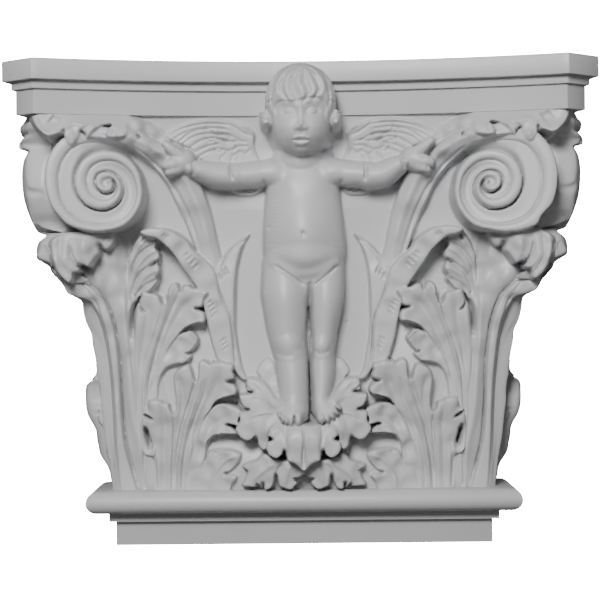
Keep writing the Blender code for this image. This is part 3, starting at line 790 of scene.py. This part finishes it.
FOOT_LOW = drawing("""
    612,932 588,922 564,919 546,915 529,908 515,921 502,926 484,934 495,945 489,963 485,974
    512,976 515,969 524,978 528,967 530,981 543,978 550,963 553,954 557,971 568,978 583,981
    596,967 591,960 602,955 612,946
    | 608,939,84 588,932,88 553,925,88 519,932,85 488,936,81 491,967,81 536,974,83 581,977,84
    553,946,86
    | -7 1.1: 552,950 554,972; -5 0.9: 524,967 526,980; -3 0.8: 512,970 514,977; -4 0.8: 589,959
    602,965; 484,943 497,946; 1 1.6: 581,932 574,949 571,970; 546,929 526,943 505,963; -1.2 0.9:
    564,929 557,939 553,951
""")
FOOT_MIDDLE = drawing("""
    560,849 544,859 538,872 544,881 535,886 532,898 538,912 553,919 564,912 569,905 575,923
    588,928 598,936 607,944 616,936 633,928 643,919 648,904 657,914 667,912 678,902 688,894
    681,885 673,880 688,877 681,863 668,851 654,842 632,847 618,835 609,848 588,850
    | 564,848,92 616,838,92 658,848,92 553,863,95 670,863,95 540,898,95 608,881,101 679,894,95
    607,941,96 584,922,98 636,922,98 588,881,100 633,881,100
    | -3 0.8: 607,856 609,881 607,908 607,936; -1.3 1.2: 639,853 645,877 643,912; 571,853 571,877
    577,912; -7 1.1: 569,901 571,921; 648,901 657,911; -4 0.8: 538,877 546,881; 670,880 684,879;
    -3 0.8: 681,885 688,895
""")


def foot_leaves(relief):
    """The lowest pair, then the flanking pair; the leaf in the middle follows on both halves."""
    relief.draw(FOOT_LOW, 82, 0.85, cut=84, edge=2.4, lip=2.0)
    relief.draw(FOOT_FLANK_TOP, 72, edge=1.8, lip=1.6)
    relief.draw(FOOT_FLANK, 84, 1.1, cut=82, edge=2.6, lip=2.2)
    relief.strokes(FOOT_FLANK_LINE, 80)


# Child: a plump winged child who stands with the arms held out to the scrolls, modelled in one
# with the casting. The face is calm and plain.
class Figure:
    """Soft forms that run together: each adds its own depth, blended with what it meets."""

    def __init__(self, relief):
        self.x, self.z = relief.a, relief.z
        self.d = np.full(relief.d.shape, -40.0)

    def add(self, fall, d, deep, power, blend):
        """A form that rises from d by deep times a power of fall, and drops away below nought."""
        rise = deep * np.clip(fall, 0, None) ** power
        drop = 30 * np.sqrt(np.clip(-fall, 0, 9))
        self.d = swell(self.d, d + rise - drop, blend)

    def egg(self, x, z, d, wide, high, deep, blend=4.0, turn=0.0):
        """The front of an ellipsoid, turned in the plane of the wall."""
        out, up = self.x - x, self.z - z
        along = out * math.cos(turn) + up * math.sin(turn)
        over = up * math.cos(turn) - out * math.sin(turn)
        self.add(1 - (along / wide) ** 2 - (over / high) ** 2, d, deep, 0.5, blend)

    def limb(self, marks, widths, deep, blend=3.0, move=(0, 0, 0), side=1):
        """A round bar along a smooth line of (x, z, d), whose half widths are read along it."""
        line = smooth_line((points(marks) + move) * (side, 1, 1), 8)
        best, depth = np.full(self.d.shape, 1e9), np.zeros(self.d.shape)
        for step, (start, end) in enumerate(zip(line[:-1], line[1:])):
            run = end - start
            share = (self.x - start[0]) * run[0] + (self.z - start[1]) * run[1]
            share = np.clip(share / (run[:2] @ run[:2] + 1e-9), 0, 1)
            gap = np.hypot(self.x - start[0] - share * run[0], self.z - start[1] - share * run[1])
            along = (step + share) / (len(line) - 1)
            gap = gap / np.interp(along, np.linspace(0, 1, len(widths)), widths)
            nearer = gap < best
            best = np.where(nearer, gap, best)
            depth = np.where(nearer, start[2] + share * run[2], depth)
        self.add(1 - best ** 2, depth, deep, 0.62, blend)

    def lay_on(self, relief, blend):
        """The forms join the relief, and strokes that follow act on them alone."""
        relief.mask = np.clip(self.d - relief.d, 0, 1)
        relief.d = swell(relief.d, self.d, blend)


TOES = (
    (-3.6, 84.2, 2.9, 4.6, 0), (-8.0, 83.6, 1.7, 3.8, 0), (-10.8, 84.4, 1.5, 3.6, 0),
    (-13.2, 85.6, 1.4, 3.3, 0.1), (-15.2, 87.2, 1.2, 2.8, 0.2), (11.4, 85.6, 3.0, 4.2, 0.2),
    (15.2, 85.4, 1.7, 3.6, 0.4), (18.2, 87.0, 1.5, 3.4, 0.6), (20.7, 89.4, 1.4, 3.2, 0.8),
    (22.6, 92.2, 1.2, 2.8, 0.9),
)
BODY_SWELLS = (
    (1, 208, 5.5, 17, 20), (-9, 238, 1.8, 9, 7), (11, 238, 1.8, 9, 7), (1, 188, 1.5, 14, 8),
    (-11, 160, 1.5, 9, 16), (15, 160, 1.2, 8, 16),
)
BODY_CREASES = strokes("""
    -2.4 1: -17,184 -8,177.5 1,171.5; 23,184 15,176.5 9,172; -1.2 3.4: -18,189 2,182 22,189;
    -6 1.3: 5,172 5,160 5,145 6,132 4.6,118 5.4,104 5.8,92 6.4,84; -0.7 1.6: -18,127 -12,125.5
    -6,126; -0.6 1.4: 8,128 12,126.5 17,128; -2 1.1: 0,205.5 1.2,204.5 1,203.2; -4.2 0.9: -45.6,251
    -46,246 -44.8,241; 41.8,250.5 42.2,245.5 41.6,240; -3.2 0.9: -70.8,252.5 -70,248 -70.6,243;
    66,256 65.5,251.5 67,246.5; -2.4 1.2: -24.5,240 -23,234; 26.5,240 25,234; -0.8 1.2: -20,252
    -11,255 -5,257; 22,252 13,255 7,257; -5 0.6: -5.9,87 -5.9,80.5
""")


def child_body(relief):
    """Trunk, arms, legs and feet, each run into what it grows from."""
    form = Figure(relief)
    form.limb("1,250,68 1,238,70 1,220,73 1.5,200,74 2,182,69", (21, 24, 24.5, 25.5, 26.5, 25), 17)
    form.egg(1, 188, 77, 24, 13, 13, 7)
    form.egg(-19, 246, 73, 11, 9, 12, 6)
    form.limb("-18,246,73 -33,244.4,75 -46,243.6,76", (9, 8.7, 8.2), 11)
    form.egg(21, 246, 73, 11, 9, 12, 6)
    form.limb("20,246,73 33,244.4,75 46,243.6,76", (9, 8.7, 8.2), 11)
    form.limb("-44,243.6,77 -56,244.5,79 -65,246.8,81 -72,248,82", (8.2, 8.4, 7, 4.8), 10.5, 2)
    form.limb("44,242.6,77 54,244,79 62,248.5,81 68,251.5,82", (8.2, 8.4, 7, 4.8), 10.5, 2)
    form.limb("-12,184,73 -11.5,166,77 -10.5,145,76 -8.8,128,75", (14, 14.8, 12.8, 10.5), 13, 4)
    form.limb("15.5,184,72 15.5,164,75 13.8,143,74 12.5,128,74", (12, 11.4, 8.8, 8), 12, 4)
    form.limb("-8,130,75 -7,114,77 -6.2,98,78 -6,88,80", (10.5, 10.4, 9.6, 9.4), 12, 4)
    form.limb("12.5,130,74 12.6,114,76 11.6,98,78 11.6,90,80", (7.8, 8.2, 6.4, 6.4), 11, 4)
    form.egg(-9.5, 134, 79, 8.5, 7, 9, 6)
    form.egg(12, 133, 78, 6.5, 6, 8.5, 6)
    form.limb("-6.5,95,80 -7,90,84 -7.4,86.5,86", (8, 8.4, 7.4), 9, 4)
    form.limb("11,96,80 14,91,84 16.5,89,86", (6, 7, 6.4), 9, 4)
    for x, z, wide, high, turn in TOES:
        form.egg(x, z, 91, wide, high, 5.5, 0.5, turn)
    for x, z, high, wide, tall in BODY_SWELLS:
        form.d = form.d + high * bump((form.x - x) / wide) * bump((form.z - z) / tall)
    form.lay_on(relief, 0.8)
    for line, amount, width in BODY_CREASES:
        relief.stroke(line, amount, width, 0.1)


FINGERS = (
    ("79,256.5,89 84.5,260.5,91 88.5,264,91", (4.0, 3.4, 2.4)),
    ("79,252,89 84,250.8,91 87.6,250.2,90", (4.2, 4.0, 3.3)),
    ("79.5,248.4,88 83.5,246.8,89.5 85.8,245.6,88.5", (3.6, 3.4, 2.9)),
)


def child_hands(relief):
    """Each hand lies on the scroll leaf: a palm, a raised thumb and curled fingers."""
    form = Figure(relief)
    for side, shift, lift in ((-1, 0, 0), (1, -4, 0.5)):
        form.egg(85 * side, 258, 76, 9, 8, 7, 2)
        form.egg((78.5 + shift) * side, 252.6 + lift, 84, 9.5, 7.8, 8.5, 2, -0.5 * side)
        for line, widths in FINGERS:
            form.limb(line, widths, 3.6, 1.0, (shift, lift, 0), side)
    form.lay_on(relief, 0.6)


FACE_SIDES = strokes("""
    2.4 6.5: 9,271 8.5,268; 0.7 1.5: 10.5,288.2 6.5,289.2 3.5,288; -2.4 3: 9.5,283.2 6,283;
    2.5 2.3: 8.6,282.8 7,282.8; -1 0.5: 11.6,282.8 9.8,284.9 7.4,285.4 5,284.4 3.8,282.4;
    -0.7 0.5: 11.2,282.2 8,280.5 4.2,281.8; 1.8 1.5: 3,272 2.8,271.6; -0.9 0.6: 2.6,270.2 1.6,269.8
""")
FACE_MIDDLE = strokes("""
    1.5 1.8: 0,285 0,279 0,274.5; 3 2.3: 0,273.6 0,272.8; -0.6 0.9: 0,269.5 0,267.8;
    1.2 1.1: -4.6,265 -1.6,266.4 0,266 1.6,266.4 4.6,265; 1.5 1.3: -3.4,262.4 0,261.7 3.4,262.4;
    -1.8 0.5: -5,264.5 -2,264.2 0,264.5 2,264.2 5,264.5; -0.7 1: -2.4,259.9 0,259.6 2.4,259.9;
    1.4 2.6: -1.5,257.8 1.5,257.8
""")


def child_head(relief):
    """A calm child's head on plain proportions: eyes halfway down, nose halfway from them."""
    form = Figure(relief)
    form.limb("0,262,80 0,254,76", (12, 14), 12, 4)
    form.egg(0, 292, 86, 23.5, 24, 22, 2)
    form.egg(0, 277, 88, 19, 21.5, 22, 5)
    for side in (-1, 1):
        form.egg(22 * side, 279, 84, 4.5, 7, 8, 2)
    form.lay_on(relief, 0.8)
    for side in (-1, 1):
        for line, amount, width in FACE_SIDES:
            relief.stroke(line * (side, 1), amount, width, 0)
    for line, amount, width in FACE_MIDDLE:
        relief.stroke(line, amount, width, 0)


HAIR = points("""
    -16,280 -16.5,286 -13.5,289.5 -6,289 0,290 6,291.5 13,291 16.5,286 16,280 20,274 26,276 27,290
    25,303 16,315 0,320 -16,315 -25,303 -27,290 -26,276 -20,274
""")
SIDE_LOCKS = strokes("""
    -1.8 0.8: 3,312 9,308 14,298; 5,314 14,309 19.5,297; 15.5,303 18.5,295 18,286;
    20,302 21.5,292 20.5,283
""")
FRINGE = strokes("""
    2.8 2.2: -4,311 -13,304 -15,296 -11,289.5; -2,311 -8.5,304 -8.5,295 -4,287.5;
    1,311 -1.5,302 1.5,294 -1,287; 4,310.5 6.5,303 9,296 4.5,289.5; 6,310 13,304 15,297 11.5,290.5
""")
CURLS = ((20.5, 292, 3.8), (23.5, 285, 4.0), (22.5, 277.5, 3.8))


def child_hair(relief):
    """Short hair: a cap over the skull, cut into locks, a parted fringe and curls by the ears."""
    relief.layer(HAIR, [(0, 305, 1.8)], edge=1.6, lip=1.4, over=True)
    for side in (-1, 1):
        for line, amount, width in SIDE_LOCKS:
            relief.stroke(line * (side, 1), amount, width)
    relief.mask[:] = 1
    for line, amount, width in FRINGE:
        relief.stroke(line, amount, width, 0.3)
    for (lock, *_), (after, *_) in zip(FRINGE[:-1], FRINGE[1:]):
        relief.stroke((lock + after) / 2, -1.8, 0.6, 0.2)
    turn = np.linspace(0, 5, 9)
    for side in (-1, 1):
        for at, up, size in CURLS:
            relief.pit(side * at, up, 4.2, size)
            across, along = 0.16 * size * turn * np.cos(turn), 0.16 * size * turn * np.sin(turn)
            relief.stroke(np.column_stack((side * (at + across), up + along)), -1.9, 0.6, 0)


# The casting: all of this is one body of resin, cast in a mould that left a few pinholes. The
# drawing is laid out on a grid that follows the corner's arris. It becomes three shells on the
# front and one on each side face, each closed by walls and a flat back, round a plain core.
CASTING_PITS = (
    (-21.5, 209.5, 0.9), (-26, 155.5, 0.6), (29.5, 147, 0.8), (22, 150, 0.5), (-22.6, 168, 0.5),
)
HALF_SPAN = 150
HALF_MIDDLE = 45.2
SHELL_BACK = 40.0
BACK_COLUMNS = 9
WALL_GAP = 0.02
ARRIS = points("""
    34,124 64,126 89,127 113,128.5 133,131 150,135 160,140 163.5,144.5 167,153 173,156.5 180,161
    188,164 200,165 204,162 208,156 214,157 221,163 234,168.5 248,168 256,166.5 264,163 270,168
    276,174 287,178
""")
ARRIS_CLEFTS = (np.array([268, 262, 256, 250, 244]), np.array([220, 215, 210, 205]))


def arris(z):
    """Distance of the corner's arris from the middle line."""
    line = smooth_line(ARRIS, 8)
    return np.interp(z, line[:, 0], line[:, 1])


def to_arris(relief):
    """Near its outer edge the relief runs out to the arris, where the side face meets it."""
    edge = arris(relief.z)
    share = np.clip((np.abs(relief.a) - edge + 3.5) / 3.5, 0, 1) ** 1.5
    relief.d = relief.d + (edge - corner_turn(relief.z) - relief.d) * share


def under_fascia(relief):
    """Just below the abacus the carving stays behind the fascia, then may stand out 1.6 to 1."""
    hollow = FRONT_HOLLOW * (1 - np.clip(relief.a / (WIDTH / 2 - CORNER_CUT), 0, 1) ** 2)
    limit = DEPTH - FASCIA_STEP - hollow - 1.0 + 1.6 * np.clip(CARVING_TOP - relief.z, 0, None)
    relief.d = np.minimum(relief.d, limit)


def eased(d):
    """Each depth averaged with its neighbours, as the mould's coat rounds every edge."""
    d = np.pad(d, 1, mode="edge")
    return d[1:-1, 1:-1] / 2 + (d[:-2, 1:-1] + d[2:, 1:-1] + d[1:-1, :-2] + d[1:-1, 2:]) / 8


def corner(a, z, centre=LEFT_SCROLL):
    """The relief of one corner, drawn with a positive outwards, from the back to the front."""
    relief = Relief(a, z, bell_front(a, z) + bell_swell(a, z))
    wings(relief)
    corner_leaves(relief)
    corner_scrolls(relief, centre)
    sheaths(relief)
    foot_leaves(relief)
    return relief


z = np.arange(TORUS_TOP - SINK, HEIGHT - 0.5, CELL)[:, None]
middle = round(HALF_SPAN / CELL)
x = np.linspace(-1, 1, 2 * middle + 1)[None, :] * arris(z)
half = x[:, middle:]
halves = [corner(half, z + 0 * half, centre) for centre in (LEFT_SCROLL, RIGHT_SCROLL)]
for relief in halves:
    to_arris(relief)
    relief.mask[:] = 1
    for up in ARRIS_CLEFTS:
        relief.stroke(np.column_stack((arris(up) - 2.2, up)), -6.0, 1.0, 0.5)
    under_fascia(relief)
left, right = halves
front = Relief(x, z + 0 * x, np.concatenate((left.d[:, :0:-1], right.d), axis=1))
mirrored = Relief(np.abs(front.a), front.z, front.d)
mirrored.draw(FOOT_MIDDLE, 95, 0.94, edge=3.0, lip=2.6)
front.d = mirrored.d
child_body(front)
child_hands(front)
child_head(front)
child_hair(front)
front.mask[:] = 1
for at, up, size in CASTING_PITS:
    front.pit(at, up, -2.0 * size, size)
behind_abacus = (front.z > CARVING_TOP + SINK) & (front.d < 90)
front.d = np.where(behind_abacus, np.minimum(front.d, 62), front.d)
depth = eased(front.d)


def shell_of(name, across, up, depth, turned=False, side=1):
    """One closed shell: the relief, walls straight back from its edges, and a plain back.

    The back has few columns and never comes nearer the relief than 0.2 mm. A side face's shell is
    turned so that its depth is out and its drawing forwards.
    """
    few = np.linspace(across.shape[1] - 1, 0, BACK_COLUMNS).round().astype(int)
    back = np.maximum(SHELL_BACK, np.abs(across) - corner_turn(up) - 2.0)
    fronts = np.stack((across, up, depth), axis=-1)
    backs = np.stack((across, up, np.minimum(back, depth - 0.2)), axis=-1)[:, few]
    vertices, quads, triangles = closed_shell(np.concatenate((fronts, backs), axis=1))
    if turned:
        shift = corner_turn(vertices[:, 1])
        vertices = vertices[:, ::-1] + np.stack((shift, 0 * shift, -shift), axis=-1)
    if side < 0:
        vertices = vertices * (-1, 1, 1)
    if turned != (side < 0):
        quads, triangles = quads[:, ::-1], triangles[:, ::-1]
    mesh = mesh_of(name, vertices, quads, triangles)
    mesh.shade_smooth()
    mesh.set_sharp_from_angle(angle=math.radians(70))
    finished(name, mesh)


low_rows = int(np.searchsorted(z[:, 0], CARVING_TOP + SINK))
wide = round(HALF_MIDDLE / CELL)
for name, start, end, rows in (("carving_left", 0, middle - wide + 1, low_rows),
                               ("carving_middle", middle - wide, middle + wide + 1, len(z)),
                               ("carving_right", middle + wide, 2 * middle + 1, low_rows)):
    part = (slice(0, rows), slice(start, end))
    shell_of(name, front.a[part], front.z[part], depth[part])

core_z = np.array([TORUS_TOP - SINK, CARVING_TOP + SINK])
core_half = SHELL_BACK + corner_turn(core_z)
core_front = SHELL_BACK + 2
core = np.array([[(-half, up, core_front), (half, up, core_front), (half, up, WALL_GAP),
                  (-half, up, WALL_GAP)] for half, up in zip(core_half, core_z)])
finished("bell", mesh_of("bell", *closed_shell(core)))


# Side faces: the same corner again, turned to each side and cast in one with it. A side shows the
# volute's broad roll, a curled leaf above it and the back of the hanging leaf, and low down one
# plump lobe. It keeps to the outline that the capital shows from the front.
SIDE_CELL = 1.3 * CELL
SIDE_SPAN = 120
OUTLINE_DEPTH = 85
OUTLINE = points("""
    42,132 53,136 63,136.5 74,139 85,144 90,146.5 95,147 101,147 106,145 111,135.5 122,135.5
    133,138 143,141 149,142.5 154,144 159,147 165,153 170,156.5 175,158 181,163 186,165.5 191,174.5
    197,173.5 202,171.5 206,166.5 209,172 215.5,176 225,179.5 235,181.5 248,182 256,180.5 261.5,178
    263,183.3 267.5,183.3 271.3,180 273.5,182.3 277,183 280,180.5 285,178
""")
ROLL = points("146,272 144,240 150,214 158,207 167,212 173,240 174,272")
CURLED_LEAF = points("146,288 146,263 157,262.5 166,265 174,268 178,274 178,288")
LOBE = points("68,98 74,105 84,108 95,106 103,99 105,90 101,72 94,52 88,36 68,36")

z = np.arange(TORUS_TOP - SINK, CARVING_TOP + SINK, SIDE_CELL)[:, None]
inner = corner_turn(z) + WALL_GAP
a = inner + np.linspace(0, 1, round(SIDE_SPAN / SIDE_CELL))[None, :] * (arris(z) - inner)
flank = corner(a, z + 0 * a)
flank.layer(ROLL, [(160, 260, 100), (160, 235, 100), (156, 215, 97)], edge=9.0, lip=6.0)
flank.layer(CURLED_LEAF, [(160, 275, 103), (165, 268, 101)], edge=5.0, lip=4.0)
flank.stroke(points("140,273 155,271.5 176,273"), -7.0, 1.5)
to_arris(flank)
under_fascia(flank)
lobe_depths = [(78, 96, 81), (95, 94, 79.5), (76, 70, 76), (92, 68, 74), (80, 44, 68)]
flank.layer(LOBE, lobe_depths, edge=7.0, lip=6.0)
flank.stroke(points("90,104 92,80 84,48"), -1.6, 2.0)

forwards = a - corner_turn(z)
outline = smooth_line(OUTLINE, 8)
widest = np.interp(z, outline[:, 0], outline[:, 1])
limit = widest * (EYE - forwards) / (EYE - OUTLINE_DEPTH) - corner_turn(z)
limit = limit - 4.5 * np.clip((forwards - 70) / 18, 0, 1) ** 2
flank.d = -swell(-flank.d, -limit, 3.0)
flank.mask[:] = 1
flank.pit(166.2, 233.5, -4.5, 2.4)
depth = eased(flank.d)
for name, side in (("carving_right_side", 1), ("carving_left_side", -1)):
    shell_of(name, flank.a, flank.z, depth, turned=True, side=side)
